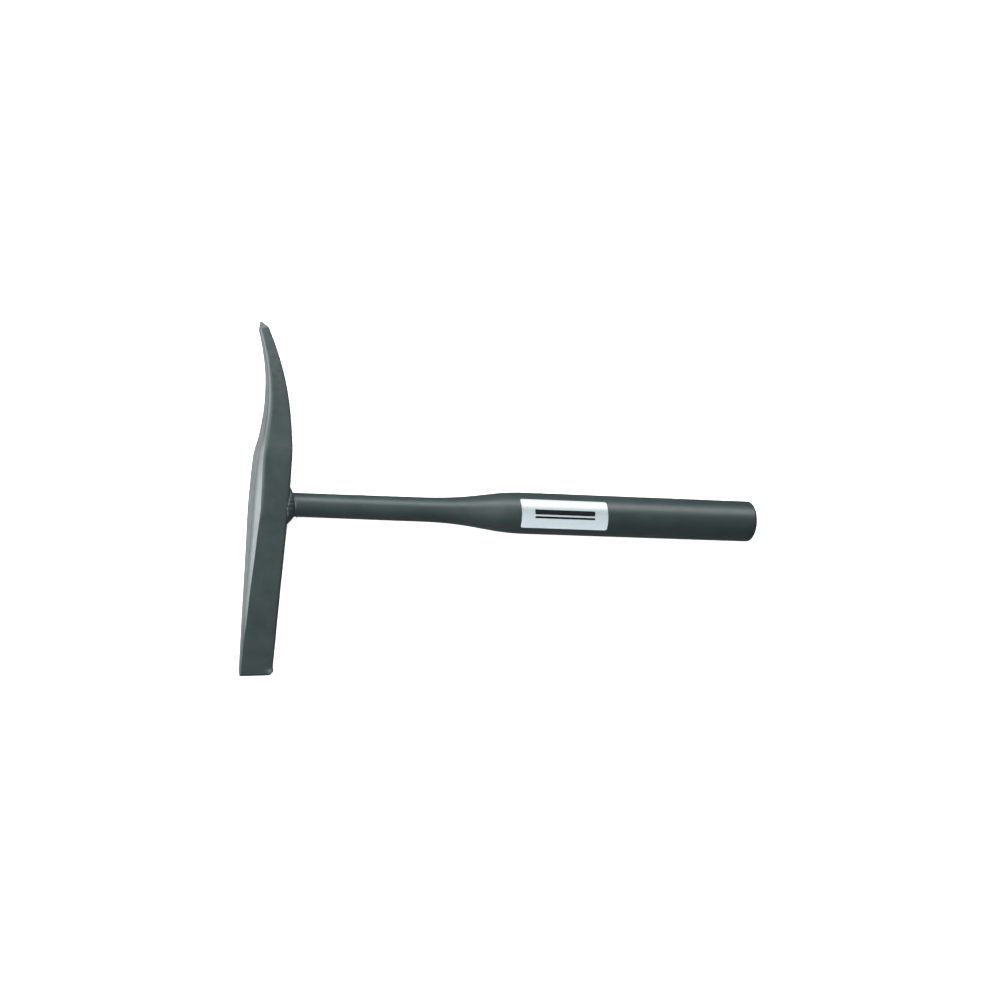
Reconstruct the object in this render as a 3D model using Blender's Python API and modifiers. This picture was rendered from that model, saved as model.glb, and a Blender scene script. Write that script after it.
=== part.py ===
"""Chipping hammer: a forged pick-and-chisel head welded to a swaged steel tube handle.

Metres, +Z up. The hammer lies on its side: the handle runs along X with its butt at +X,
the pick points to +Y, the chisel to -Y, and the label on the grip faces +Z.
The origin is under the middle of the hammer's box, on the surface that the grip lies on.
"""

import math

import bmesh
import bpy
from mathutils import Vector

# Overall
BUTT_X = 0.1415  # butt end of the handle; the chisel's front corner is as far on the other side
HANDLE_Y = -0.0027  # the handle's axis, a little under the middle of the head
GRIP_RADIUS = 0.011  # 22 mm steel tube
AXIS_Z = GRIP_RADIUS

# Handle tube, from head to butt
NECK_RADIUS = 0.0062  # next to the head
NECK_GROWTH = 0.0035  # how much the neck widens for each metre of its length
SWAGE_START_X = -0.0466
SWAGE_ANGLE = math.radians(8.2)  # slope of the short cone between the swage's two arcs
FLARE_ARC = 0.210  # radius of the hollow arc where the neck opens out
GRIP_START_X = 0.0092
ARC_STEPS = 8
GRIP_WALL = 0.0015
NECK_WALL = 0.0020
RIM_ARC = 0.0020  # outer corner of the rolled rim
RIM_OPENING = 0.0080
RIM_LIP = 0.0015
ARC_PARTS = 6
TURN_STEPS = 56

# Closing disc behind the rim
DISC_RADIUS = 0.0092
DISC_THICKNESS = 0.0015

FIT_GAP = 0.0003

# Forged head, from the chisel's edge up to the pick's point. Each station is the height along
# Y above the handle's axis, the middle of the section along X, its depth in the swing plane,
# its thickness, and the depth and thickness that the two front corners lose.
HEAD_STATIONS = (
    (-0.0871, -0.1337, 0.0156, 0.0018, 0.0002, 0.0003),
    (-0.0859, -0.1331, 0.0168, 0.0030, 0.0002, 0.0004),
    (-0.0690, -0.1324, 0.0169, 0.0058, 0.0004, 0.0010),
    (-0.0030, -0.1298, 0.0174, 0.0164, 0.0023, 0.0014),
    (0.0240, -0.1284, 0.0165, 0.0164, 0.0023, 0.0014),
    (0.0360, -0.1273, 0.0142, 0.0126, 0.0014, 0.0013),
    (0.0500, -0.1271, 0.0110, 0.0098, 0.0010, 0.0010),
    (0.0650, -0.1287, 0.0082, 0.0070, 0.0008, 0.0008),
    (0.0800, -0.1323, 0.0056, 0.0048, 0.0006, 0.0006),
    (0.0890, -0.1356, 0.0047, 0.0040, 0.0005, 0.0005),
)
STRAIGHT_BELOW = 0.0240  # up to this height the head is a straight bar, tapered to the chisel
STEP_HEIGHT = 0.004  # longest step between sections on the curved pick
EDGE_HEIGHT = -0.0850  # under this height the sections lie square to the chisel's slanted edge
EDGE_TILT = math.radians(-2.7)  # the edge rises from its front corner to its back one
POINT_X = -0.1371
POINT_HEIGHT = 0.0929
POINT_RADIUS = 0.0004
BACK_CORNER = 0.0014
BACK_FACE_X = -0.1210  # of the back face, level with the handle's axis
HEAD_LEAN = 0.0394  # how far the straight part of the head goes back for each metre of height

# Fillet weld around the neck
WELD_REACH_NEAR = 0.0036  # up the back face on the pick's side
WELD_REACH_FAR = 0.0056  # down it on the chisel's side
WELD_HALF_THICKNESS = 0.0079
WELD_LENGTH = 0.0036  # along the neck, at mid height
WELD_TOE_SLANT = 0.04  # how much longer it is for each metre towards the chisel
WELD_TOE = 0.0003  # thickness where it runs out on the tube
WELD_SIDES = 40

# Foil label on the grip
LABEL_START_X = 0.0042
LABEL_LENGTH = 0.0489
LABEL_SPAN = math.radians(85.4)
LABEL_GAP = 0.0001
LABEL_THICKNESS = 0.0002
LABEL_STEPS = 20

COATING = ((0.055, 0.078, 0.078), 0.42, 0.25)
FOIL = ((0.60, 0.66, 0.68), 0.30, 0.60)


def clear_scene():
    """Remove every object of the scene, with nothing else touched."""
    for obj in list(bpy.data.objects):
        bpy.data.objects.remove(obj, do_unlink=True)


def make_collection(name):
    collection = bpy.data.collections.new(name)
    bpy.context.scene.collection.children.link(collection)
    return collection


def make_material(name, colour, roughness, metallic):
    material = bpy.data.materials.new(name)
    material.use_nodes = True
    shader = material.node_tree.nodes["Principled BSDF"]
    shader.inputs["Base Color"].default_value = (*colour, 1.0)
    shader.inputs["Roughness"].default_value = roughness
    shader.inputs["Metallic"].default_value = metallic
    return material


def add_object(name, bm, collection, material):
    """Turn a bmesh into an object in its collection, with its material."""
    mesh = bpy.data.meshes.new(name)
    bm.to_mesh(mesh)
    bm.free()
    mesh.materials.append(material)
    obj = bpy.data.objects.new(name, mesh)
    collection.objects.link(obj)
    return obj


def turned(name, profile, collection, material, steps=TURN_STEPS, angle=math.tau):
    """Turn a profile of (x along the handle, radius) points about the handle's axis.

    The profile runs down its outer side, from the butt to the head. A full turn closes the
    profile into a ring; a part turn leaves it open and centres it on the hammer's upper side.
    """
    full = angle == math.tau
    start = 0.0 if full else math.pi - angle / 2
    bm = bmesh.new()
    verts = [
        bm.verts.new((radius * math.cos(start), radius * math.sin(start), x))
        for x, radius in profile
    ]
    for first, second in zip(verts, verts[1:]):
        bm.edges.new((first, second))
    if full:
        bm.edges.new((verts[-1], verts[0]))
    obj = add_object(name, bm, collection, material)
    obj.location = (0.0, HANDLE_Y, AXIS_Z)
    obj.rotation_euler = (0.0, math.pi / 2, 0.0)
    screw = obj.modifiers.new("turn", "SCREW")
    screw.angle = angle
    screw.steps = screw.render_steps = steps
    screw.use_merge_vertices = full
    screw.merge_threshold = 0.00001
    screw.use_smooth_shade = False
    return obj


def arc(centre, radius, start, end, parts):
    """Points (x, radius) along an arc in the profile plane, both ends included."""
    for part in range(parts + 1):
        angle = start + (end - start) * part / parts
        yield centre[0] + radius * math.cos(angle), centre[1] + radius * math.sin(angle)


def back_face_x(height):
    """The plane of the head's back face at a height above the handle's axis."""
    return BACK_FACE_X + HEAD_LEAN * height


def neck_end_x():
    """The neck stops just short of the highest point of the back face that it covers."""
    return back_face_x(NECK_RADIUS) + FIT_GAP


def neck_radius(x):
    """Outer radius of the slightly tapering neck."""
    return NECK_RADIUS + NECK_GROWTH * (x - neck_end_x())


def swage_profile():
    """The flare and the shoulder between grip and neck, from the grip towards the neck."""
    start_radius = neck_radius(SWAGE_START_X)
    rise = GRIP_RADIUS - start_radius
    run = GRIP_START_X - SWAGE_START_X
    # The two arcs' radii add up to what makes both tangent to one cone of the swage's angle.
    sine, cosine = math.sin(SWAGE_ANGLE), math.cos(SWAGE_ANGLE)
    shoulder_arc = (run * sine - rise * cosine) / (1 - cosine) - FLARE_ARC
    shoulder = (GRIP_START_X, GRIP_RADIUS - shoulder_arc)
    flare = (SWAGE_START_X, start_radius + FLARE_ARC)
    up = math.pi / 2
    yield from arc(shoulder, shoulder_arc, up, up + SWAGE_ANGLE, ARC_STEPS)
    yield from arc(flare, FLARE_ARC, SWAGE_ANGLE - up, -up, ARC_STEPS)


def tube_profile():
    outer = list(arc((BUTT_X - RIM_ARC, GRIP_RADIUS - RIM_ARC), RIM_ARC, 0.0, math.pi / 2, ARC_PARTS))
    swage = list(swage_profile())
    outer += swage
    outer.append((neck_end_x(), neck_radius(neck_end_x())))
    bore = [
        (neck_end_x(), NECK_RADIUS - NECK_WALL),
        (SWAGE_START_X, neck_radius(SWAGE_START_X) - NECK_WALL),
        (GRIP_START_X, GRIP_RADIUS - GRIP_WALL),
        (BUTT_X - RIM_LIP, GRIP_RADIUS - GRIP_WALL),
        (BUTT_X - RIM_LIP, RIM_OPENING),
        (BUTT_X, RIM_OPENING),
    ]
    return outer + bore


def make_tube(collection, material):
    return turned("handle_tube", tube_profile(), collection, material)


def make_end_disc(collection, material):
    front = BUTT_X - RIM_LIP - FIT_GAP
    bm = bmesh.new()
    bmesh.ops.create_cone(
        bm,
        cap_ends=True,
        segments=TURN_STEPS,
        radius1=DISC_RADIUS,
        radius2=DISC_RADIUS,
        depth=DISC_THICKNESS,
    )
    disc = add_object("end_disc", bm, collection, material)
    disc.location = (front - DISC_THICKNESS / 2, HANDLE_Y, AXIS_Z)
    disc.rotation_euler = (0.0, math.pi / 2, 0.0)
    return disc


def smooth_value(stations, height, column):
    """One column of the stations at a height, on a smooth curve through them."""
    heights = [station[0] for station in stations]
    values = [station[column] for station in stations]
    index = max(i for i in range(len(heights) - 1) if heights[i] <= height + 1e-9)
    span = heights[index + 1] - heights[index]
    t = (height - heights[index]) / span

    def slope(i):
        low, high = max(i - 1, 0), min(i + 1, len(heights) - 1)
        return (values[high] - values[low]) / (heights[high] - heights[low])

    if heights[index + 1] <= STRAIGHT_BELOW:
        return values[index] * (1 - t) + values[index + 1] * t
    start_slope = slope(index) * span
    end_slope = slope(index + 1) * span
    start_value, end_value = values[index], values[index + 1]
    return (
        (2 * t**3 - 3 * t**2 + 1) * start_value
        + (t**3 - 2 * t**2 + t) * start_slope
        + (3 * t**2 - 2 * t**3) * end_value
        + (t**3 - t**2) * end_slope
    )


def section_heights():
    """Every station, with steps no longer than STEP_HEIGHT between the curved ones."""
    heights = [HEAD_STATIONS[0][0]]
    for below, above in zip(HEAD_STATIONS, HEAD_STATIONS[1:]):
        curved = above[0] > STRAIGHT_BELOW
        steps = math.ceil((above[0] - below[0]) / STEP_HEIGHT) if curved else 1
        heights += [below[0] + (above[0] - below[0]) * step / steps for step in range(1, steps + 1)]
    return heights


def section_points(depth, thickness, corner_depth, corner_width):
    """The outline of one section in (along X, along Z), anticlockwise from the front's low side."""
    front, back, side = -depth / 2, depth / 2, thickness / 2
    back_corner = min(BACK_CORNER, 0.3 * thickness, 0.3 * depth)
    low = [
        (front, -(side - corner_width)),
        (front + corner_depth, -side),
        (back - back_corner, -side),
        (back, -(side - back_corner)),
    ]
    return low + [(x, -z) for x, z in reversed(low)]


def centre_line_tilt(height, nudge=0.0005):
    low = max(height - nudge, HEAD_STATIONS[0][0])
    high = min(height + nudge, HEAD_STATIONS[-1][0])
    drift = smooth_value(HEAD_STATIONS, high, 1) - smooth_value(HEAD_STATIONS, low, 1)
    return math.atan2(drift, high - low)


def add_section(bm, height):
    """One ring of vertices, square to the line that the middles of the sections follow."""
    middle, depth, thickness, corner_depth, corner_width = (
        smooth_value(HEAD_STATIONS, height, column) for column in range(1, 6)
    )
    tilt = EDGE_TILT if height < EDGE_HEIGHT else centre_line_tilt(height)
    ring = []
    for x, z in section_points(depth, thickness, corner_depth, corner_width):
        place = (
            middle + x * math.cos(tilt),
            HANDLE_Y + height - x * math.sin(tilt),
            AXIS_Z + z,
        )
        ring.append(bm.verts.new(place))
    return ring


def make_head(collection, material):
    """Loft the forged head through its sections and close it at the edge and at the point."""
    bm = bmesh.new()
    rings = [add_section(bm, height) for height in section_heights()]
    for lower, upper in zip(rings, rings[1:]):
        for i in range(len(lower)):
            j = (i + 1) % len(lower)
            bm.faces.new((lower[i], lower[j], upper[j], upper[i]))
    bm.faces.new(rings[0])
    point = []
    for corner in rings[-1]:
        away = corner.co - Vector((POINT_X, HANDLE_Y + POINT_HEIGHT, AXIS_Z))
        away.y = 0.0
        tip = Vector((POINT_X, HANDLE_Y + POINT_HEIGHT, AXIS_Z)) + away.normalized() * POINT_RADIUS
        point.append(bm.verts.new(tip))
    for i in range(len(point)):
        j = (i + 1) % len(point)
        bm.faces.new((rings[-1][i], rings[-1][j], point[j], point[i]))
    bm.faces.new(reversed(point))
    bmesh.ops.recalc_face_normals(bm, faces=bm.faces)
    return add_object("hammer_head", bm, collection, material)


def weld_ring(bm, near, far, half_thickness, place_x):
    """A ring of vertices around the neck, reaching near towards the pick and far to the chisel."""
    ring = []
    for i in range(WELD_SIDES):
        angle = math.tau * i / WELD_SIDES
        height = math.cos(angle) * (near if math.cos(angle) > 0 else far)
        z = AXIS_Z + half_thickness * math.sin(angle)
        ring.append(bm.verts.new((place_x(height), HANDLE_Y + height, z)))
    return ring


def make_weld(collection, material):
    """A fillet of weld: a tapering collar, clear of the tube inside it and of the head behind."""
    bore = neck_radius(neck_end_x() + WELD_LENGTH) + FIT_GAP
    toe = bore + WELD_TOE

    def root_x(height):
        return back_face_x(height) + FIT_GAP

    def toe_x(height):
        return back_face_x(0.0) + WELD_LENGTH - WELD_TOE_SLANT * height

    near = NECK_RADIUS + WELD_REACH_NEAR
    far = NECK_RADIUS + WELD_REACH_FAR
    bm = bmesh.new()
    rings = [
        weld_ring(bm, bore, bore, bore, root_x),
        weld_ring(bm, near, far, WELD_HALF_THICKNESS, root_x),
        weld_ring(bm, toe, toe, toe, toe_x),
        weld_ring(bm, bore, bore, bore, toe_x),
    ]
    for inner, outer in zip(rings, rings[1:] + rings[:1]):
        for i in range(WELD_SIDES):
            j = (i + 1) % WELD_SIDES
            bm.faces.new((inner[i], inner[j], outer[j], outer[i]))
    bmesh.ops.recalc_face_normals(bm, faces=bm.faces)
    return add_object("neck_weld", bm, collection, material)


def make_label(collection, material):
    """The foil label: a strip of the grip's surface, given its thickness outwards."""
    radius = GRIP_RADIUS + LABEL_GAP
    profile = [(LABEL_START_X + LABEL_LENGTH, radius), (LABEL_START_X, radius)]
    label = turned("label_foil", profile, collection, material, LABEL_STEPS, LABEL_SPAN)
    shell = label.modifiers.new("foil", "SOLIDIFY")
    shell.thickness = LABEL_THICKNESS
    shell.offset = 1.0
    return label


def main():
    clear_scene()
    parts = make_collection("chipping_hammer")
    coating = make_material("coated_steel", *COATING)
    foil = make_material("label_foil", *FOIL)
    make_head(parts, coating)
    make_tube(parts, coating)
    make_weld(parts, coating)
    make_end_disc(parts, coating)
    make_label(parts, foil)


main()
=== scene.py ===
import math

import bmesh
import bpy
from bpy.props import FloatProperty, FloatVectorProperty, IntProperty, PointerProperty
from bpy.types import Operator, Panel, PropertyGroup
from mathutils import Matrix, Vector, noise


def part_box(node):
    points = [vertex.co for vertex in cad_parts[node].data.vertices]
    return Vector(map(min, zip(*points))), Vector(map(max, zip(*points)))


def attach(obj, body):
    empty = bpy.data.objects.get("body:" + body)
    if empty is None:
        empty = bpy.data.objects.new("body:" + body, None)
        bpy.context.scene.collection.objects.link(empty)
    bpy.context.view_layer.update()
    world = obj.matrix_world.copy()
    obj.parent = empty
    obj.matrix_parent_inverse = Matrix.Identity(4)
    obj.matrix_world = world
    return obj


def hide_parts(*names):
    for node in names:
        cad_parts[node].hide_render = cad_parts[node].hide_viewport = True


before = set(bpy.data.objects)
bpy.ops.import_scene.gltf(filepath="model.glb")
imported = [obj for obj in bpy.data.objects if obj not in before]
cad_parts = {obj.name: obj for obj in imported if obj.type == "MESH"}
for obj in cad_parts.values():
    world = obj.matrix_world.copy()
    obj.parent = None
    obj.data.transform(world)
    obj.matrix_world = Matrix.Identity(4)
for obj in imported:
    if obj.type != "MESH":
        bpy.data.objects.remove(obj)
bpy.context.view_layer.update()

bl_info = {
    "name": "Chipping hammer",
    "version": (1, 0, 0),
    "blender": (4, 5, 0),
    "location": "3D View > Sidebar > Hammer",
    "description": "Forged head, tube handle, weld, closing disc and label of a hammer",
    "category": "Object",
}

BODY = "root"
MM = 0.001
HEAD_LOW, HEAD_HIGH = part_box("hammer_head")
TUBE_LOW, TUBE_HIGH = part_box("handle_tube")
LABEL_LOW, LABEL_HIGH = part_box("label_foil")
AXIS_Y = (TUBE_LOW.y + TUBE_HIGH.y) / 2
AXIS_Z = (TUBE_LOW.z + TUBE_HIGH.z) / 2
GRIP_RADIUS = (TUBE_HIGH.y - TUBE_LOW.y) / 2


# ---------------------------------------------------------------- measuring the frame


def frame_edges(node):
    """The CAD node's edges as pairs of points."""
    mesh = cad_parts[node].data
    points = [v.co.copy() for v in mesh.vertices]
    return [(points[a], points[b]) for a, b in (edge.vertices for edge in mesh.edges)]


def frame_slice(edges, axis, place):
    """Lowest and highest corner of a CAD node's section across an axis, or None outside it."""
    low, high = Vector((1e9, 1e9, 1e9)), Vector((-1e9, -1e9, -1e9))
    for first, second in edges:
        start, end = first[axis], second[axis]
        if min(start, end) > place or max(start, end) < place or start == end:
            continue
        point = first.lerp(second, (place - start) / (end - start))
        low = Vector(map(min, low, point))
        high = Vector(map(max, high, point))
    return (low, high) if high.x > -1e8 else None


# ---------------------------------------------------------------- settings


class HeadSettings(PropertyGroup):
    soft_corner: FloatProperty(
        name="Front corner", description="Rounding between the head's front and its front chamfers",
        default=1.6 * MM, unit="LENGTH", precision=5,
    )
    crisp_corner: FloatProperty(
        name="Side corner", description="Rounding between the front chamfers and the cheeks",
        default=0.2 * MM, unit="LENGTH", precision=5,
    )
    back_corner: FloatProperty(
        name="Back corner", description="Rounding along the back of the head",
        default=1.5 * MM, unit="LENGTH", precision=5,
    )
    drip: FloatProperty(
        name="Drip", description="Height of the drip of coating at the chisel's back corner",
        default=0.75 * MM, unit="LENGTH", precision=5,
    )
    forging_depth: FloatProperty(
        name="Forging depth", description="Height of the slow waves that the forging leaves",
        default=0.07 * MM, unit="LENGTH", precision=5,
    )


class TubeSettings(PropertyGroup):
    wall: FloatProperty(
        name="Wall", description="Wall of the tube",
        default=1.5 * MM, unit="LENGTH", precision=5,
    )
    rim_radius: FloatProperty(
        name="Rim radius", description="Outer corner of the rolled rim at the butt",
        default=2.0 * MM, unit="LENGTH", precision=5,
    )
    rim_opening: FloatProperty(
        name="Rim opening", description="Radius of the opening in the rolled rim",
        default=8.0 * MM, unit="LENGTH", precision=5,
    )
    sides: IntProperty(name="Sides", description="Steps around the tube", default=128, min=16)


class WeldSettings(PropertyGroup):
    reach_pick: FloatProperty(
        name="Reach to the pick", description="Leg of the weld up the head's back face",
        default=3.4 * MM, unit="LENGTH", precision=5,
    )
    reach_chisel: FloatProperty(
        name="Reach to the chisel", description="Leg of the weld down the head's back face",
        default=5.2 * MM, unit="LENGTH", precision=5,
    )
    reach_side: FloatProperty(
        name="Reach to the sides", description="Leg of the weld over the rounded back corners",
        default=1.9 * MM, unit="LENGTH", precision=5,
    )
    ripples: IntProperty(name="Ripples", description="Ripples around the bead", default=21, min=4)
    ripple_height: FloatProperty(
        name="Ripple height", description="Height of each ripple of the bead",
        default=0.30 * MM, unit="LENGTH", precision=5,
    )


class LabelSettings(PropertyGroup):
    corner: FloatProperty(
        name="Corner", description="Corner radius of the label",
        default=1.1 * MM, unit="LENGTH", precision=5,
    )
    thickness: FloatProperty(
        name="Thickness", description="Thickness of the foil",
        default=0.12 * MM, unit="LENGTH", precision=5,
    )
    askew: FloatProperty(
        name="Askew", description="How far the label leans along the grip for each metre round it",
        default=-0.055,
    )


class FinishSettings(PropertyGroup):
    coating: FloatVectorProperty(
        name="Coating", description="Colour of the satin coating on the steel",
        default=(0.0095, 0.0178, 0.0180), subtype="COLOR",
    )
    # Lighter coating mixed in by the wear-and-light mask: worn edges with painted highlights, and
    # painted light over the pick.
    worn_and_lit_coating: FloatVectorProperty(
        name="Thin coating", description="Colour where the coating is thin, on edges",
        default=(0.030, 0.041, 0.042), subtype="COLOR",
    )
    # Lighter colour on the head's front bevels: partly a thin ground coating, partly painted sheen
    # where they face the lamps.
    ground_sheen: FloatVectorProperty(
        name="Ground bevel", description="Colour of the ground bevels along the head's front",
        default=(0.070, 0.083, 0.085), subtype="COLOR",
    )
    foil: FloatVectorProperty(
        name="Foil", description="Colour of the label's foil",
        default=(0.30, 0.34, 0.355), subtype="COLOR",
    )
    ink: FloatVectorProperty(
        name="Ink", description="Colour of the print on the label",
        default=(0.0020, 0.0026, 0.0030), subtype="COLOR",
    )


class StageSettings(PropertyGroup):
    yaw: FloatProperty(
        name="Yaw", description="How far the camera stands round towards the head",
        default=math.radians(20.0), subtype="ANGLE",
    )
    roll: FloatProperty(
        name="Roll", description="Turn of the camera about its own view",
        default=math.radians(2.22), subtype="ANGLE",
    )
    distance: FloatProperty(
        name="Distance", description="Camera to the middle of the view",
        default=1.2828, unit="LENGTH",
    )
    lens: FloatProperty(name="Lens", description="Focal length in millimetres", default=87.5)
    aim: FloatVectorProperty(
        name="Aim", description="Point in the middle of the view",
        default=(-0.00444, 0.0038, 0.0110), subtype="TRANSLATION",
    )


class HammerSettings(PropertyGroup):
    head: PointerProperty(type=HeadSettings)
    tube: PointerProperty(type=TubeSettings)
    weld: PointerProperty(type=WeldSettings)
    label: PointerProperty(type=LabelSettings)
    finish: PointerProperty(type=FinishSettings)
    stage: PointerProperty(type=StageSettings)


# ---------------------------------------------------------------- building helpers


def new_piece(name, bm, material, replaces=(), sharp=180.0):
    """Turn a finished bmesh into a piece that rides on the hammer."""
    mesh = bpy.data.meshes.new(name)
    bm.to_mesh(mesh)
    bm.free()
    mesh.materials.append(material)
    mesh.shade_smooth()
    mesh.set_sharp_from_angle(angle=math.radians(sharp))
    piece = bpy.data.objects.new(name, mesh)
    bpy.context.scene.collection.objects.link(piece)
    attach(piece, BODY)
    if replaces:
        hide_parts(*replaces)
    return piece


def subdivided(bm, levels):
    """The bmesh after Catmull-Clark subdivision, as a new bmesh."""
    mesh = bpy.data.meshes.new("cage")
    bm.to_mesh(mesh)
    bm.free()
    cage = bpy.data.objects.new("cage", mesh)
    bpy.context.scene.collection.objects.link(cage)
    modifier = cage.modifiers.new("smooth", "SUBSURF")
    modifier.levels = modifier.render_levels = levels
    graph = bpy.context.evaluated_depsgraph_get()
    fine = bpy.data.meshes.new_from_object(cage.evaluated_get(graph))
    bpy.data.objects.remove(cage)
    bpy.data.meshes.remove(mesh)
    bm = bmesh.new()
    bm.from_mesh(fine)
    bpy.data.meshes.remove(fine)
    bm.normal_update()
    return bm


def smooth_step(low, high, value):
    t = max(0.0, min(1.0, (value - low) / (high - low)))
    return t * t * (3 - 2 * t)


def along(stops, value):
    """A value on straight lines through (place, value) stops, held level past both ends."""
    if value <= stops[0][0]:
        return stops[0][1]
    for (start, before), (end, after) in zip(stops, stops[1:]):
        if value <= end:
            return before + (after - before) * (value - start) / (end - start)
    return stops[-1][1]


# ---------------------------------------------------------------- materials


class Nodes:
    """A material's node tree with short calls for the nodes that these finishes use."""

    def __init__(self, name):
        self.material = bpy.data.materials.new(name)
        self.material.use_nodes = True
        self.tree = self.material.node_tree
        self.shader = self.tree.nodes["Principled BSDF"]
        self.coordinates = self.coordinate("Object")

    def coordinate(self, kind):
        return self.add("ShaderNodeTexCoord").outputs[kind]

    def add(self, kind, **inputs):
        node = self.tree.nodes.new(kind)
        for name, value in inputs.items():
            self.put(node.inputs[name.replace("_", " ")], value)
        return node

    def put(self, socket, value):
        if isinstance(value, bpy.types.NodeSocket):
            self.tree.links.new(value, socket)
        else:
            socket.default_value = value

    def stretch(self, scale):
        mapping = self.add("ShaderNodeMapping", Vector=self.coordinates)
        mapping.inputs["Scale"].default_value = scale
        return mapping.outputs["Vector"]

    def noise(self, scale, detail=3.0, roughness=0.5, vector=None, distortion=0.0):
        node = self.add(
            "ShaderNodeTexNoise", Scale=scale, Detail=detail, Roughness=roughness,
            Vector=vector or self.coordinates, Distortion=distortion,
        )
        return node.outputs["Fac"]

    def ranged(self, value, low, high, new_low, new_high):
        node = self.add("ShaderNodeMapRange", Value=value)
        for name, number in (
            ("From Min", low), ("From Max", high), ("To Min", new_low), ("To Max", new_high)
        ):
            node.inputs[name].default_value = number
        return node.outputs["Result"]

    def math(self, operation, first, second=0.0):
        node = self.add("ShaderNodeMath")
        node.operation = operation
        self.put(node.inputs[0], first)
        self.put(node.inputs[1], second)
        return node.outputs["Value"]

    def mix(self, factor, first, second):
        node = self.add("ShaderNodeMix")
        node.data_type = "RGBA"
        self.put(node.inputs["Factor"], factor)
        self.put(node.inputs[6], first)
        self.put(node.inputs[7], second)
        return node.outputs[2]

    def attribute(self, name):
        node = self.add("ShaderNodeAttribute")
        node.attribute_name = name
        return node.outputs["Fac"]

    def bump(self, height, distance, normal=None):
        node = self.add("ShaderNodeBump", Height=height)
        node.inputs["Distance"].default_value = distance
        if normal:
            self.put(node.inputs["Normal"], normal)
        return node.outputs["Normal"]

    def set(self, **inputs):
        for name, value in inputs.items():
            self.put(self.shader.inputs[name.replace("_", " ")], value)
        return self.material


def opaque(colour, gain=1.0):
    return (*(channel * gain for channel in colour), 1.0)


def coated_steel(name, finish, streaks, grain, wear_and_light=0.0, gain=1.0):
    """Satin coating over steel: slow tone changes, fine peel, streaks of the steel under it."""
    nodes = Nodes(name)
    cloud = nodes.noise(38.0, 4.0, 0.55)
    speck = nodes.noise(1500.0, 2.0, 0.6)
    # gain lightens the whole coating; the weld's gain is painted light.
    tone = nodes.mix(
        nodes.ranged(cloud, 0.35, 0.65, 0.0, 1.0),
        opaque(finish.coating, 0.86 * gain), opaque(finish.coating, 1.14 * gain),
    )
    tone = nodes.mix(
        nodes.ranged(speck, 0.42, 0.72, 0.0, 0.34), tone, opaque(finish.coating, 1.7 * gain)
    )
    # The wear-and-light mask lightens the coating: real wear on edges, painted highlights along
    # edges and the bevel line, and painted light over the pick.
    if wear_and_light:
        patchy = nodes.ranged(nodes.noise(420.0, 3.0, 0.6), 0.35, 0.65, 0.35, 1.0)
        worn_and_lit = nodes.math("MULTIPLY", nodes.attribute("wear_and_light"), patchy)
        tone = nodes.mix(
            nodes.math("MULTIPLY", worn_and_lit, wear_and_light), tone, opaque(finish.worn_and_lit_coating)
        )
        # Painted sheen over a thin ground coating: this mask lightens the head's front bevels.
        brushed = nodes.ranged(nodes.noise(600.0, 3.0, 0.6), 0.3, 0.7, 0.8, 1.0)
        tone = nodes.mix(
            nodes.math("MULTIPLY", nodes.attribute("ground_sheen"), brushed), tone, opaque(finish.ground_sheen)
        )
    roughness = nodes.ranged(nodes.noise(160.0, 3.0, 0.6), 0.3, 0.7, 0.36, 0.45)
    peel = nodes.noise(750.0, 2.0, 0.5)
    drawn = nodes.noise(1.0, 3.0, 0.6, nodes.stretch(streaks))
    normal = nodes.bump(peel, 0.030 * MM)
    normal = nodes.bump(drawn, grain, normal)
    normal = nodes.bump(nodes.noise(3200.0, 2.0, 0.5), 0.006 * MM, normal)
    return nodes.set(Base_Color=tone, Roughness=roughness, Normal=normal)


def label_foil(finish):
    """Metallised foil: bright, slightly rippled, with a painted reflection that makes it paler
    towards its lower edge.
    """
    nodes = Nodes("label_foil")
    ripple = nodes.noise(120.0, 2.0, 0.5)
    grain = nodes.noise(5200.0, 2.0, 0.6)
    tone = nodes.mix(
        nodes.ranged(ripple, 0.3, 0.7, 0.0, 1.0),
        opaque(finish.foil, 0.97), opaque(finish.foil, 1.03),
    )
    # Painted reflection: the foil gets lighter towards its lower edge, low on the label's UV
    # height.
    up = nodes.add("ShaderNodeSeparateXYZ", Vector=nodes.coordinate("UV")).outputs["Y"]
    tone = nodes.mix(nodes.ranged(up, 0.0, 0.6, 1.0, 0.0), tone, opaque(finish.foil, 2.5))
    normal = nodes.bump(ripple, 0.05 * MM)
    normal = nodes.bump(grain, 0.003 * MM, normal)
    roughness = nodes.ranged(grain, 0.3, 0.7, 0.26, 0.36)
    nodes.set(Base_Color=tone, Roughness=roughness, Normal=normal)
    return nodes.set(Metallic=0.30)


def label_ink(finish):
    """Screen-printed ink, with small pinholes that let the foil dull it."""
    nodes = Nodes("label_ink")
    pinholes = nodes.ranged(nodes.noise(6000.0, 2.0, 0.5), 0.62, 0.78, 0.0, 0.5)
    tone = nodes.mix(pinholes, opaque(finish.ink), opaque(finish.foil, 0.1))
    roughness = nodes.ranged(nodes.noise(900.0, 2.0, 0.5), 0.3, 0.7, 0.52, 0.66)
    normal = nodes.bump(nodes.noise(2600.0, 2.0, 0.5), 0.004 * MM)
    nodes.set(Base_Color=tone, Roughness=roughness, Normal=normal)
    return nodes.set(Specular_IOR_Level=0.12)


def pale_floor():
    """White light table: it glows a little through its diffuser, so shadows on it are faint."""
    nodes = Nodes("pale_floor")
    tone = nodes.mix(nodes.noise(60.0, 3.0, 0.5), (0.86, 0.86, 0.86, 1.0), (0.88, 0.88, 0.88, 1.0))
    nodes.set(Base_Color=tone, Roughness=0.9, Emission_Color=(1.0, 1.0, 1.0, 1.0))
    return nodes.set(Emission_Strength=0.70, Specular_IOR_Level=0.1)


# ---------------------------------------------------------------- forged head

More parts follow.
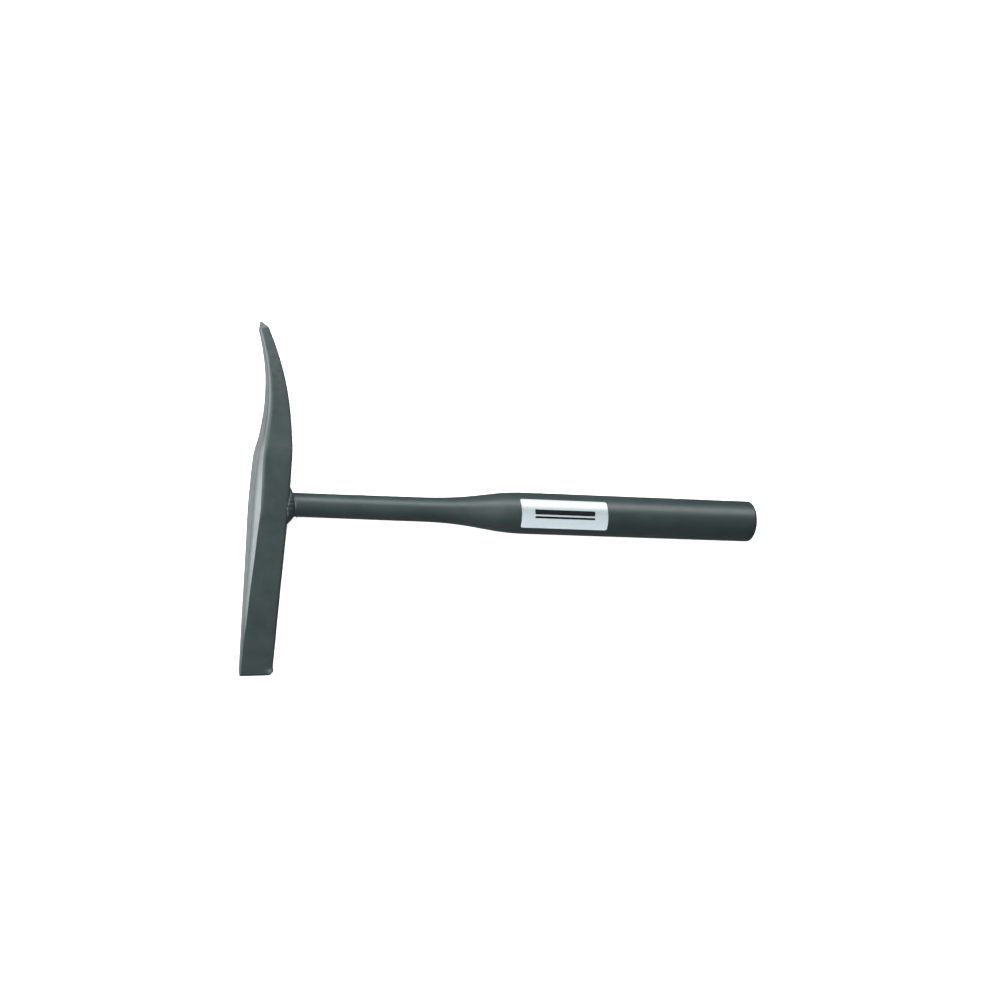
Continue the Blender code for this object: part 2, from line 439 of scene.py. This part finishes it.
# Heights are measured along the head, from the handle's axis.
EDGE_BOTTOM = -0.0879
EDGE_BEVEL = -0.0865
TAPER_TOP = -0.0030
EYE_TOP = 0.0240
POINT_BASE = 0.0893
POINT_TOP = 0.0931
POINT_X = -0.1378
POINT_SLANT = 0.30
POINT_TAPER = 0.5 * MM
DRIP = (-0.1250, -0.0884)
DRIP_RADIUS = 1.5 * MM
EDGE_RISE = 0.047
BACK_LEAN = 0.0394
BACK_FACE_X = -0.1210
EDGE_MIDDLE_X = BACK_FACE_X - 8.0 * MM
BEVEL_LINE = 0.3 * MM

# How far the front stands out to make up for its rounding, along the head
FRONT_SWELL = (
    (-0.0880, 0.20 * MM), (-0.0850, 0.50 * MM), (-0.0600, 0.70 * MM), (-0.0240, 0.80 * MM),
    (0.0000, 1.15 * MM), (0.0200, 1.20 * MM), (0.0340, 0.50 * MM), (0.0450, 0.70 * MM),
    (0.0800, 0.90 * MM), (0.0893, 0.20 * MM),
)
# Depth and width that the front chamfers take from each front corner, along the head
CHAMFER_DEPTH = (
    (-0.0872, 0.20 * MM), (-0.0710, 0.40 * MM), (-0.0610, 1.05 * MM), (-0.0450, 1.50 * MM),
    (-0.0290, 2.30 * MM), (-0.0160, 2.80 * MM), (-0.0030, 3.60 * MM), (0.0090, 3.00 * MM),
    (0.0240, 1.85 * MM), (0.0330, 1.20 * MM), (0.0500, 0.85 * MM), (0.0700, 0.62 * MM),
    (0.0890, 0.30 * MM),
)
CHAMFER_WIDTH = (
    (-0.0872, 0.25 * MM), (-0.0690, 0.70 * MM), (-0.0030, 1.70 * MM), (0.0225, 1.55 * MM),
    (0.0360, 0.75 * MM), (0.0500, 0.52 * MM), (0.0700, 0.42 * MM), (0.0890, 0.23 * MM),
)
# Depth and width of the thin second facet, between the chamfer and the cheek
FACET_DEPTH = ((-0.0150, 0.3 * MM), (0.0000, 1.2 * MM), (0.0360, 1.6 * MM), (0.0890, 0.5 * MM))
FACET_WIDTH = (
    (-0.0150, 0.05 * MM), (0.0000, 0.16 * MM), (0.0300, 0.34 * MM), (0.0890, 0.16 * MM),
)


def head_heights():
    """Heights of the head's rings, closer together where its shape turns."""
    heights = [EDGE_BOTTOM]
    for until, step in (
        (EDGE_BOTTOM + 0.2 * MM, 0.2 * MM), (EDGE_BEVEL - 0.1 * MM, 0.4 * MM),
        (EDGE_BEVEL + 0.1 * MM, 0.2 * MM), (-0.0800, 1.0 * MM), (TAPER_TOP, 2.6 * MM),
        (EYE_TOP - 2.0 * MM, 2.4 * MM), (EYE_TOP + 8.0 * MM, 1.0 * MM),
        (POINT_BASE - 0.2 * MM, 2.0 * MM), (POINT_BASE, 0.2 * MM),
    ):
        start = heights[-1]
        count = max(1, round((until - start) / step))
        heights.extend(start + (until - start) * i / count for i in range(1, count + 1))
    return heights


def rounded(before, corner, after, size, parts):
    """Points of a rounded corner, with one more each side that keeps the sides flat."""
    first, second = (corner - before).length, (after - corner).length
    size = min(size, 0.40 * first, 0.40 * second)
    start = corner + (before - corner).normalized() * size
    end = corner + (after - corner).normalized() * size
    points = [start.lerp(before, min(0.2 * MM, 0.07 * first) / first)]
    for i in range(parts + 1):
        t = i / parts
        points.append(start * (1 - t) ** 2 + corner * 2 * t * (1 - t) + end * t**2)
    points.append(end.lerp(after, min(0.2 * MM, 0.07 * second) / second))
    return points


def half_section(front, back, side, height, settings):
    """Points (x, z) of the upper half of a section, from the middle of the front to the back."""
    depth = back - front
    chamfer_depth = min(along(CHAMFER_DEPTH, height), 0.3 * depth)
    chamfer_width = min(along(CHAMFER_WIDTH, height), 0.45 * side)
    facet_depth = min(along(FACET_DEPTH, height), 0.25 * depth)
    facet_width = min(along(FACET_WIDTH, height), 0.2 * side)
    start = Vector((front, 0.0))
    corner = Vector((front, side - chamfer_width - facet_width))
    ridge = Vector((front + chamfer_depth, side - facet_width))
    shoulder = Vector((ridge.x + facet_depth, side))
    rear = Vector((back, side))
    end = Vector((back, 0.0))
    points = [Vector((front, 0.35 * corner.y))]
    points += rounded(start, corner, ridge, settings.soft_corner, 5)
    points += rounded(corner, ridge, shoulder, settings.crisp_corner, 3)
    points += rounded(ridge, shoulder, rear, 0.5 * MM, 2)
    points.append(shoulder.lerp(rear, 0.5))
    points += rounded(shoulder, rear, end, settings.back_corner, 5)
    points.append(Vector((back, 0.3 * side)))
    return points


def head_section(edges, height):
    """The head's front, back and half thickness, carried straight on past the foot of the point."""
    last, run = HEAD_HIGH.y - AXIS_Y - 5.0 * MM, 6.0 * MM
    if height > last:
        before, end = head_section(edges, last - run), head_section(edges, last)
        return before.lerp(end, (height - last) / run + 1.0)
    low, high = frame_slice(edges, 1, max(AXIS_Y + height, HEAD_LOW.y + 1.0 * MM))
    return Vector((low.x, high.x, (high.z - low.z) / 2))


def head_ring(edges, height, settings):
    """Corners of one section of the head, in the frame, going once around it."""
    front, back, side = head_section(edges, height)
    front -= along(FRONT_SWELL, height)
    back -= POINT_TAPER * smooth_step(0.080, POINT_BASE, height)
    if height < EDGE_BEVEL:
        share = (height - EDGE_BOTTOM) / (EDGE_BEVEL - EDGE_BOTTOM)
        side = 0.75 * MM + 0.75 * MM * share
        back -= 1.0 * MM * (1 - math.sqrt(1 - (1 - share) ** 2))
    upper = half_section(front, back, side, height, settings)
    flat = [(p.x, p.y) for p in upper] + [(p.x, -p.y) for p in reversed(upper)]
    middle = (front + back) / 2
    tilt = EDGE_RISE * (1 - smooth_step(EDGE_BOTTOM, EDGE_BOTTOM + 0.012, height))
    tilt += POINT_SLANT * smooth_step(POINT_BASE - 0.010, POINT_BASE, height)
    return [Vector((x, AXIS_Y + height + tilt * (x - middle), AXIS_Z + z)) for x, z in flat]


def lofted(rings):
    """A closed bar through rings of points, extruded from the first ring to the last."""
    bm = bmesh.new()
    first = [bm.verts.new(corner) for corner in rings[0]]
    rim = [bm.edges.new(pair) for pair in zip(first, first[1:] + first[:1])]
    for before, after in zip(rings, rings[1:]):
        target = {corner.to_tuple(8): place for corner, place in zip(before, after)}
        made = bmesh.ops.extrude_edge_only(bm, edges=rim)["geom"]
        corners = [item for item in made if isinstance(item, bmesh.types.BMVert)]
        moves = [(corner, target[corner.co.to_tuple(8)]) for corner in corners]
        for corner, place in moves:
            corner.co = place
        rim = [item for item in made if isinstance(item, bmesh.types.BMEdge)]
    bmesh.ops.holes_fill(bm, edges=list(bm.edges), sides=0)
    bmesh.ops.recalc_face_normals(bm, faces=bm.faces)
    return bm


def forged_head_mesh(settings):
    edges = frame_edges("hammer_head")
    rings = [head_ring(edges, height, settings) for height in head_heights()]
    # The ground point: the last section drawn in to a small blunt tip.
    tip = Vector((POINT_X, AXIS_Y + POINT_TOP, AXIS_Z))
    base = rings[-1]
    rings += [[corner.lerp(tip, share) for corner in base] for share in (0.05, 0.80, 0.90)]
    # Stored coordinates are single precision, so the points that are matched are too.
    rings = [[Vector(corner) for corner in ring] for ring in rings]
    return subdivided(lofted(rings), 1)


def bevel_wear_and_highlight(x, height):
    """How strongly the line where the chisel's edge bevel starts is lightened: worn coating with a
    painted highlight along it.
    """
    across = height - EDGE_BEVEL - EDGE_RISE * (x - EDGE_MIDDLE_X)
    return math.exp(-((across / BEVEL_LINE) ** 2))


def bevel_sheen_share(height, out):
    """How much a point belongs to the ground front bevels and their painted sheen, from its height
    and its way out, the share of its normal that faces -x towards the lamps.
    """
    along_head = smooth_step(-0.075, -0.045, height)
    along_head *= 1 - 0.85 * smooth_step(EYE_TOP, EYE_TOP + 0.015, height)
    return along_head * smooth_step(0.20, 0.36, out) * (1 - 0.75 * smooth_step(0.86, 0.98, out))


def forge_surface(bm, settings):
    """Slow waves and the drip of coating, with a mask of worn edges, painted edge highlights and
    painted light on the pick, and a mask of the ground front bevels with painted sheen.
    """
    wear_and_light = bm.verts.layers.float.new("wear_and_light")
    ground_sheen = bm.verts.layers.float.new("ground_sheen")
    moves = []
    for vert in bm.verts:
        slow = noise.noise(vert.co * 95.0)
        quick = noise.noise(vert.co * 420.0 + Vector((7.0, 3.0, 1.0)))
        drip = (vert.co.xy - Vector(DRIP)).length / DRIP_RADIUS
        waves = settings.forging_depth * (slow + 0.25 * quick)
        moves.append(waves + settings.drip * math.exp(-drip**2))
        bend = sum((edge.calc_face_angle_signed(0.0) for edge in vert.link_edges), 0.0)
        height = vert.co.y - AXIS_Y
        # Wear and painted light: convex edges are worn and carry painted highlights, the pick gets
        # painted light that grows towards its tip, and the chisel's bevel line gets a painted
        # highlight.
        vert[wear_and_light] = max(
            smooth_step(0.15, 0.9, bend), smooth_step(0.030, 0.085, height),
            bevel_wear_and_highlight(vert.co.x, height),
        )
        # Painted sheen: front bevels whose normals face -x, towards the lamps, are marked for a
        # lighter colour.
        vert[ground_sheen] = bevel_sheen_share(height, -vert.normal.x)
    for vert, move in zip(bm.verts, moves):
        vert.co += vert.normal * move


class HAMMER_OT_forge_head(Operator):
    """Forge the head: pick, eye and chisel in one piece"""

    bl_idname = "hammer.forge_head"
    bl_label = "Forge head"

    def execute(self, context):
        settings = context.scene.hammer
        bm = forged_head_mesh(settings.head)
        forge_surface(bm, settings.head)
        # The forging's coating is lightened by masks that hold wear, painted highlights, painted
        # light on the pick and painted sheen on the front bevels.
        material = coated_steel(
            "coated_forging", settings.finish, (500.0, 120.0, 500.0), 0.02 * MM, wear_and_light=0.8
        )
        new_piece("forged_head", bm, material, ("hammer_head",))
        return {"FINISHED"}


# ---------------------------------------------------------------- tube handle


def tube_profile(settings):
    """Points (x, radius) from the neck's end over the outside to the rim and back in the bore."""
    edges = frame_edges("handle_tube")
    neck_end = TUBE_LOW.x - 0.25 * MM
    rim_start = TUBE_HIGH.x - settings.rim_radius
    outside = []
    count = 64
    for i in range(count + 1):
        x = TUBE_LOW.x + 0.1 * MM + (rim_start - TUBE_LOW.x - 0.2 * MM) * i / count
        low, high = frame_slice(edges, 0, x)
        outside.append((x, (high.y - low.y) / 2))
    outside[0] = (neck_end, outside[0][1])
    corner = GRIP_RADIUS - settings.rim_radius
    for i in range(9):
        angle = math.pi / 2 * (1 - i / 8)
        x = rim_start + settings.rim_radius * math.cos(angle)
        outside.append((x, corner + settings.rim_radius * math.sin(angle)))
    lip = 0.5 * MM
    opening = settings.rim_opening
    rim = [
        (TUBE_HIGH.x, opening + lip),
        (TUBE_HIGH.x - 0.15 * MM, opening + 0.15 * MM),
        (TUBE_HIGH.x - lip, opening),
        (TUBE_HIGH.x - 1.3 * MM, opening),
        (TUBE_HIGH.x - 1.5 * MM, opening + 0.2 * MM),
        (TUBE_HIGH.x - 1.5 * MM, GRIP_RADIUS - settings.wall),
    ]
    bore = [(x, radius - settings.wall) for x, radius in reversed(outside[: count + 1 : 4])]
    return outside + rim + bore


def spun(profile, sides):
    """Turn a closed profile of (x, radius) about the handle's axis."""
    bm = bmesh.new()
    verts = [bm.verts.new((x, AXIS_Y, AXIS_Z + radius)) for x, radius in profile]
    edges = [bm.edges.new(pair) for pair in zip(verts, verts[1:] + verts[:1])]
    bmesh.ops.spin(
        bm, geom=verts + edges, cent=(0.0, AXIS_Y, AXIS_Z), axis=(1.0, 0.0, 0.0),
        angle=math.tau, steps=sides, use_merge=True,
    )
    bmesh.ops.recalc_face_normals(bm, faces=bm.faces)
    return bm


class HAMMER_OT_draw_tube(Operator):
    """Draw the tube handle: thin neck, swaged flare, grip and rolled rim"""

    bl_idname = "hammer.draw_tube"
    bl_label = "Draw tube handle"

    def execute(self, context):
        settings = context.scene.hammer
        bm = spun(tube_profile(settings.tube), settings.tube.sides)
        bm.normal_update()
        for vert in bm.verts:
            vert.co += vert.normal * (0.02 * MM * noise.noise(vert.co * 60.0))
        material = coated_steel(
            "coated_tube", settings.finish, (60.0, 900.0, 900.0), 0.010 * MM
        )
        new_piece("swaged_tube", bm, material, ("handle_tube",))
        return {"FINISHED"}


# ---------------------------------------------------------------- weld

BEAD_POINTS = 9
BEAD_STEPS = 252


def back_face_x(height, across, settings):
    """Where the head's back face and its rounded corners lie."""
    half = (HEAD_HIGH.z - HEAD_LOW.z) / 2
    corner = settings.back_corner
    past = max(0.0, abs(across) - (half - corner))
    drop = corner - math.sqrt(max(0.0, corner**2 - min(past, corner) ** 2))
    return BACK_FACE_X + BACK_LEAN * height - drop


def bead_point(angle, share, weld, head, neck):
    """A point of the bead's surface: share runs from its toe on the head to its toe on the neck."""
    towards_pick, aside = math.cos(angle), math.sin(angle)
    end_reach = weld.reach_pick if towards_pick > 0 else weld.reach_chisel
    reach = weld.reach_side + (end_reach - weld.reach_side) * abs(towards_pick) ** 1.6
    reach *= 1 + 0.10 * noise.noise(Vector((towards_pick * 2.1, aside * 2.1, 4.0)))
    run = 3.4 * MM + 0.9 * MM * -towards_pick
    run *= 1 + 0.08 * noise.noise(Vector((aside * 3, towards_pick * 3, 9)))
    toe_radius = neck + reach
    toe_x = back_face_x(towards_pick * toe_radius, aside * toe_radius, head)
    toe_head = Vector((toe_x - 0.1 * MM, toe_radius))
    toe_neck = Vector((back_face_x(towards_pick * neck, 0.0, head) + run, neck - 0.1 * MM))
    out = Vector((toe_head.y - toe_neck.y, toe_neck.x - toe_head.x)).normalized()
    bulge = 4 * share * (1 - share)
    crest = share - 0.5
    sway = 0.35 * noise.noise(Vector((towards_pick * 4, aside * 4, 0)))
    phase = angle / math.tau * weld.ripples + 1.4 * crest**2 + sway
    step = phase - math.floor(phase)
    ripple = (1 - step) ** 0.8 if step > 0.12 else step / 0.12 * 0.88**0.8
    lift = (0.09 + 0.06 * towards_pick) * (toe_head - toe_neck).length * bulge
    lift += weld.ripple_height * ripple * bulge**0.6
    return toe_head.lerp(toe_neck, share) + out * lift


def weld_mesh(weld, head):
    edges = frame_edges("handle_tube")
    low, high = frame_slice(edges, 0, TUBE_LOW.x + 2 * MM)
    neck = (high.y - low.y) / 2
    bm = bmesh.new()
    ring = [bm.verts.new((MM * i, AXIS_Y + neck, AXIS_Z)) for i in range(BEAD_POINTS + 2)]
    loop = [bm.edges.new(pair) for pair in zip(ring, ring[1:] + ring[:1])]
    bmesh.ops.spin(
        bm, geom=ring + loop, cent=(0.0, AXIS_Y, AXIS_Z), axis=(1.0, 0.0, 0.0),
        angle=math.tau, steps=BEAD_STEPS, use_merge=True,
    )
    for vert in bm.verts:
        angle = math.atan2(vert.co.z - AXIS_Z, vert.co.y - AXIS_Y)
        index = round(vert.co.x / MM)
        if index < BEAD_POINTS:
            place = bead_point(angle, index / (BEAD_POINTS - 1), weld, head, neck)
        elif index == BEAD_POINTS:
            place = Vector((back_face_x(0, 0, head) + 1.5 * MM, neck - 0.5 * MM))
        else:
            radius = neck + 0.4 * MM
            place = Vector((back_face_x(math.cos(angle) * radius, 0.0, head) - 0.7 * MM, radius))
        vert.co = (place.x, AXIS_Y + place.y * math.cos(angle), AXIS_Z + place.y * math.sin(angle))
    bmesh.ops.recalc_face_normals(bm, faces=bm.faces)
    return bm, neck


def add_spatter(bm, centre, radius):
    """A small uneven drop of weld metal that stuck beside the bead."""
    made = bmesh.ops.create_icosphere(bm, subdivisions=3, radius=radius)
    for vert in made["verts"]:
        vert.co *= 1 + 0.12 * noise.noise(vert.co * 4000.0)
    bmesh.ops.translate(bm, verts=made["verts"], vec=centre)


class HAMMER_OT_lay_weld(Operator):
    """Lay the fillet weld around the neck, with its ripples and spatter"""

    bl_idname = "hammer.lay_weld"
    bl_label = "Lay weld"

    def execute(self, context):
        settings = context.scene.hammer
        bm, neck = weld_mesh(settings.weld, settings.head)
        face = back_face_x(0.0, 0.0, settings.head)
        below = Vector((face + 6.2 * MM, AXIS_Y - neck, AXIS_Z + 0.2 * MM))
        add_spatter(bm, below, 0.38 * MM)
        beside = Vector((face + 5.0 * MM, AXIS_Y + 0.4 * neck, AXIS_Z + 0.9 * neck))
        add_spatter(bm, beside, 0.22 * MM)
        bm.normal_update()
        # gain=1.4 is painted light: the weld's coating is made lighter to make up for the shade
        # that the bead lies in.
        material = coated_steel(
            "coated_weld", settings.finish, (700.0, 700.0, 700.0), 0.02 * MM, gain=1.4
        )
        new_piece("weld_bead", bm, material, ("neck_weld",))
        return {"FINISHED"}


# ---------------------------------------------------------------- closing disc


class HAMMER_OT_press_disc(Operator):
    """Press the closing disc in behind the rolled rim"""

    bl_idname = "hammer.press_disc"
    bl_label = "Press closing disc"

    def execute(self, context):
        settings = context.scene.hammer
        opening = settings.tube.rim_opening
        front = TUBE_HIGH.x - 1.5 * MM
        profile = [
            (front, opening + 1.0 * MM),
            (front, opening + 0.1 * MM),
            (front - 0.1 * MM, opening - 0.5 * MM),
            (front - 0.5 * MM, opening - 1.3 * MM),
            (front - 0.6 * MM, opening - 2.0 * MM),
            (front - 0.6 * MM, 1.2 * MM),
            (front - 0.7 * MM, 0.6 * MM),
            (front - 0.9 * MM, 0.02 * MM),
            (front - 2.0 * MM, 0.02 * MM),
            (front - 2.0 * MM, opening + 1.0 * MM),
        ]
        bm = spun(profile, 96)
        bmesh.ops.remove_doubles(bm, verts=bm.verts, dist=0.01 * MM)
        material = coated_steel(
            "coated_disc", settings.finish, (300.0, 300.0, 300.0), 0.012 * MM
        )
        new_piece("closing_disc", bm, material, ("end_disc",))
        return {"FINISHED"}


# ---------------------------------------------------------------- label

PRINT_WIDTH = 34.0 * MM
PRINT_THICKNESS = 0.015 * MM
# Name, height and place across the label of each printed bar
PRINTED = (("label_bar", 2.6 * MM, 1.0 * MM), ("label_line", 1.1 * MM, -1.75 * MM))


def bent_plate(width, height, corner, thickness, lift, askew, place=0.0, strips=44):
    """A thin plate with round corners, rolled onto the grip at a place around it."""
    bm = bmesh.new()
    bmesh.ops.create_grid(bm, x_segments=1, y_segments=1, size=0.5)
    bmesh.ops.scale(bm, verts=bm.verts, vec=(width, height, 1.0))
    bmesh.ops.bevel(
        bm, geom=list(bm.verts), offset=corner, segments=8, profile=0.5,
        affect="VERTICES", material=-1,
    )
    uv = bm.loops.layers.uv.new("UVMap")
    for i in range(1, strips):
        y = height * (i / strips - 0.5)
        bmesh.ops.bisect_plane(
            bm, geom=list(bm.verts) + list(bm.edges) + list(bm.faces),
            plane_co=(0.0, y, 0.0), plane_no=(0.0, 1.0, 0.0),
        )
    for face in bm.faces:
        for loop in face.loops:
            loop[uv].uv = (loop.vert.co.x / width + 0.5, loop.vert.co.y / height + 0.5)
    made = bmesh.ops.extrude_face_region(bm, geom=list(bm.faces))["geom"]
    raised = [item for item in made if isinstance(item, bmesh.types.BMVert)]
    bmesh.ops.translate(bm, verts=raised, vec=(0.0, 0.0, thickness))
    middle = (LABEL_LOW.x + LABEL_HIGH.x) / 2
    for vert in bm.verts:
        radius = GRIP_RADIUS + lift + vert.co.z
        around = vert.co.y + place
        angle = around / GRIP_RADIUS
        vert.co = (
            middle + vert.co.x + askew * around,
            AXIS_Y + radius * math.sin(angle),
            AXIS_Z + radius * math.cos(angle),
        )
    bmesh.ops.recalc_face_normals(bm, faces=bm.faces)
    return bm


class HAMMER_OT_stick_label(Operator):
    """Stick the foil label on the grip and print its plain bars"""

    bl_idname = "hammer.stick_label"
    bl_label = "Stick label"

    def execute(self, context):
        settings = context.scene.hammer
        label = settings.label
        width = LABEL_HIGH.x - LABEL_LOW.x
        half_angle = math.asin((LABEL_HIGH.y - LABEL_LOW.y) / 2 / (GRIP_RADIUS + 0.3 * MM))
        height = 2 * half_angle * GRIP_RADIUS
        foil = bent_plate(width, height, label.corner, label.thickness, -0.02 * MM, label.askew)
        new_piece("foil_label", foil, label_foil(settings.finish), ("label_foil",), 30.0)
        ink = label_ink(settings.finish)
        for name, height, place in PRINTED:
            plate = bent_plate(
                PRINT_WIDTH, height, 0.35 * MM, PRINT_THICKNESS, label.thickness - 0.025 * MM,
                label.askew, place, 12,
            )
            new_piece(name, plate, ink, (), 30.0)
        return {"FINISHED"}


# ---------------------------------------------------------------- stage

# The surroundings fade from bright on the head's side to dim on the butt's side.
WORLD_FADE = (("From Min", -0.20), ("From Max", 0.20), ("To Min", 1.45), ("To Max", 0.15))
FLOOR_REACH = 3.0
BACKDROP_RADIUS = 2.8
BACKDROP_HEIGHT = 6.0


def soft_light(name, direction, distance, width, height, power, diffuse=True, gloss=True):
    """A softbox that faces the hammer from a direction, with its width in the handle's plane."""
    data = bpy.data.lights.new(name, "AREA")
    data.shape = "RECTANGLE"
    data.size, data.size_y = width, height
    data.energy = power
    light = bpy.data.objects.new(name, data)
    out = Vector(direction).normalized()
    across = (Vector((1.0, 0.0, 0.0)) - out * out.x).normalized()
    axes = Matrix((across, out.cross(across), out)).transposed()
    light.matrix_world = Matrix.Translation(out * distance) @ axes.to_4x4()
    light.visible_diffuse = diffuse
    light.visible_glossy = gloss
    bpy.context.scene.collection.objects.link(light)


def studio_world():
    """Soft light all round, brighter from the side that the head's front looks to."""
    world = bpy.data.worlds.new("studio")
    world.use_nodes = True
    tree = world.node_tree
    background = tree.nodes["Background"]
    background.inputs["Color"].default_value = (0.96, 0.98, 1.0, 1.0)
    split = tree.nodes.new("ShaderNodeSeparateXYZ")
    tree.links.new(tree.nodes.new("ShaderNodeTexCoord").outputs["Generated"], split.inputs[0])
    fade = tree.nodes.new("ShaderNodeMapRange")
    tree.links.new(split.outputs["X"], fade.inputs["Value"])
    for name, number in WORLD_FADE:
        fade.inputs[name].default_value = number
    tree.links.new(fade.outputs["Result"], background.inputs["Strength"])
    return world


def lay_floor():
    """A floor that the grip's shoulder and the head's lower cheek both touch."""
    shoulder_x = LABEL_LOW.x
    rise = HEAD_LOW.z / (shoulder_x - HEAD_HIGH.x)
    bm = bmesh.new()
    bmesh.ops.create_grid(bm, x_segments=40, y_segments=40, size=FLOOR_REACH)
    tilt = Matrix.Rotation(math.atan(rise), 3, "Y")
    bmesh.ops.rotate(bm, verts=bm.verts, cent=(0.0, 0.0, 0.0), matrix=tilt)
    bmesh.ops.translate(bm, verts=bm.verts, vec=(0.0, 0.0, shoulder_x * rise))
    mesh = bpy.data.meshes.new("floor")
    bm.to_mesh(mesh)
    bm.free()
    mesh.materials.append(pale_floor())
    floor = bpy.data.objects.new("floor", mesh)
    bpy.context.scene.collection.objects.link(floor)
    floor.visible_glossy = False


def hang_backdrop():
    """A white wall around the floor, which only the camera sees."""
    bm = bmesh.new()
    bmesh.ops.create_cone(
        bm, segments=96, radius1=BACKDROP_RADIUS, radius2=BACKDROP_RADIUS, depth=BACKDROP_HEIGHT
    )
    nodes = Nodes("white_backdrop")
    nodes.set(Base_Color=(0.0, 0.0, 0.0, 1.0), Emission_Color=(1.0, 1.0, 1.0, 1.0))
    mesh = bpy.data.meshes.new("backdrop")
    bm.to_mesh(mesh)
    bm.free()
    mesh.materials.append(nodes.set(Emission_Strength=1.0, Specular_IOR_Level=0.0))
    backdrop = bpy.data.objects.new("backdrop", mesh)
    bpy.context.scene.collection.objects.link(backdrop)
    backdrop.visible_diffuse = backdrop.visible_glossy = backdrop.visible_shadow = False


def place_camera(stage):
    data = bpy.data.cameras.new("camera")
    data.lens = stage.lens
    data.sensor_width = 36.0
    camera = bpy.data.objects.new("camera", data)
    right = Vector((math.cos(stage.yaw), 0.0, math.sin(stage.yaw)))
    back = Vector((-math.sin(stage.yaw), 0.0, math.cos(stage.yaw)))
    up = Vector((0.0, 1.0, 0.0))
    turned_right = right * math.cos(stage.roll) + up * math.sin(stage.roll)
    turned_up = up * math.cos(stage.roll) - right * math.sin(stage.roll)
    axes = Matrix((turned_right, turned_up, back)).transposed()
    place = Vector(stage.aim) + back * stage.distance
    camera.matrix_world = Matrix.Translation(place) @ axes.to_4x4()
    bpy.context.scene.collection.objects.link(camera)
    bpy.context.scene.camera = camera


class HAMMER_OT_set_stage(Operator):
    """Set the floor, the backdrop, the soft lights and the camera"""

    bl_idname = "hammer.set_stage"
    bl_label = "Set stage"

    def execute(self, context):
        scene = context.scene
        scene.view_settings.view_transform = "Standard"
        scene.world = studio_world()
        lay_floor()
        hang_backdrop()
        soft_light("key", (-0.54, 0.70, 0.48), 0.62, 0.9, 0.9, 16.8, gloss=False)
        soft_light("tube_glow", (0.30, 0.80, 0.52), 1.3, 1.5, 0.7, 16.5, diffuse=False)
        soft_light("front_glow", (-0.60, 0.05, 0.80), 1.2, 0.75, 1.1, 24.0, diffuse=False)
        place_camera(scene.hammer.stage)
        return {"FINISHED"}


class HAMMER_PT_panel(Panel):
    """Lists the hammer's pieces in the sidebar"""

    bl_label = "Chipping hammer"
    bl_idname = "HAMMER_PT_panel"
    bl_space_type = "VIEW_3D"
    bl_region_type = "UI"
    bl_category = "Hammer"

    def draw(self, context):
        for operator in OPERATORS:
            self.layout.operator(operator.bl_idname)


SETTINGS = (
    HeadSettings, TubeSettings, WeldSettings, LabelSettings, FinishSettings, StageSettings,
    HammerSettings,
)
OPERATORS = (
    HAMMER_OT_forge_head, HAMMER_OT_draw_tube, HAMMER_OT_lay_weld,
    HAMMER_OT_press_disc, HAMMER_OT_stick_label, HAMMER_OT_set_stage,
)
CLASSES = SETTINGS + OPERATORS + (HAMMER_PT_panel,)


def register():
    for made in CLASSES:
        bpy.utils.register_class(made)
    bpy.types.Scene.hammer = PointerProperty(type=HammerSettings)


def unregister():
    del bpy.types.Scene.hammer
    for made in reversed(CLASSES):
        bpy.utils.unregister_class(made)


def main():
    register()
    bpy.ops.hammer.forge_head()
    bpy.ops.hammer.draw_tube()
    bpy.ops.hammer.lay_weld()
    bpy.ops.hammer.press_disc()
    bpy.ops.hammer.stick_label()
    bpy.ops.hammer.set_stage()


if __name__ == "__main__":
    main()
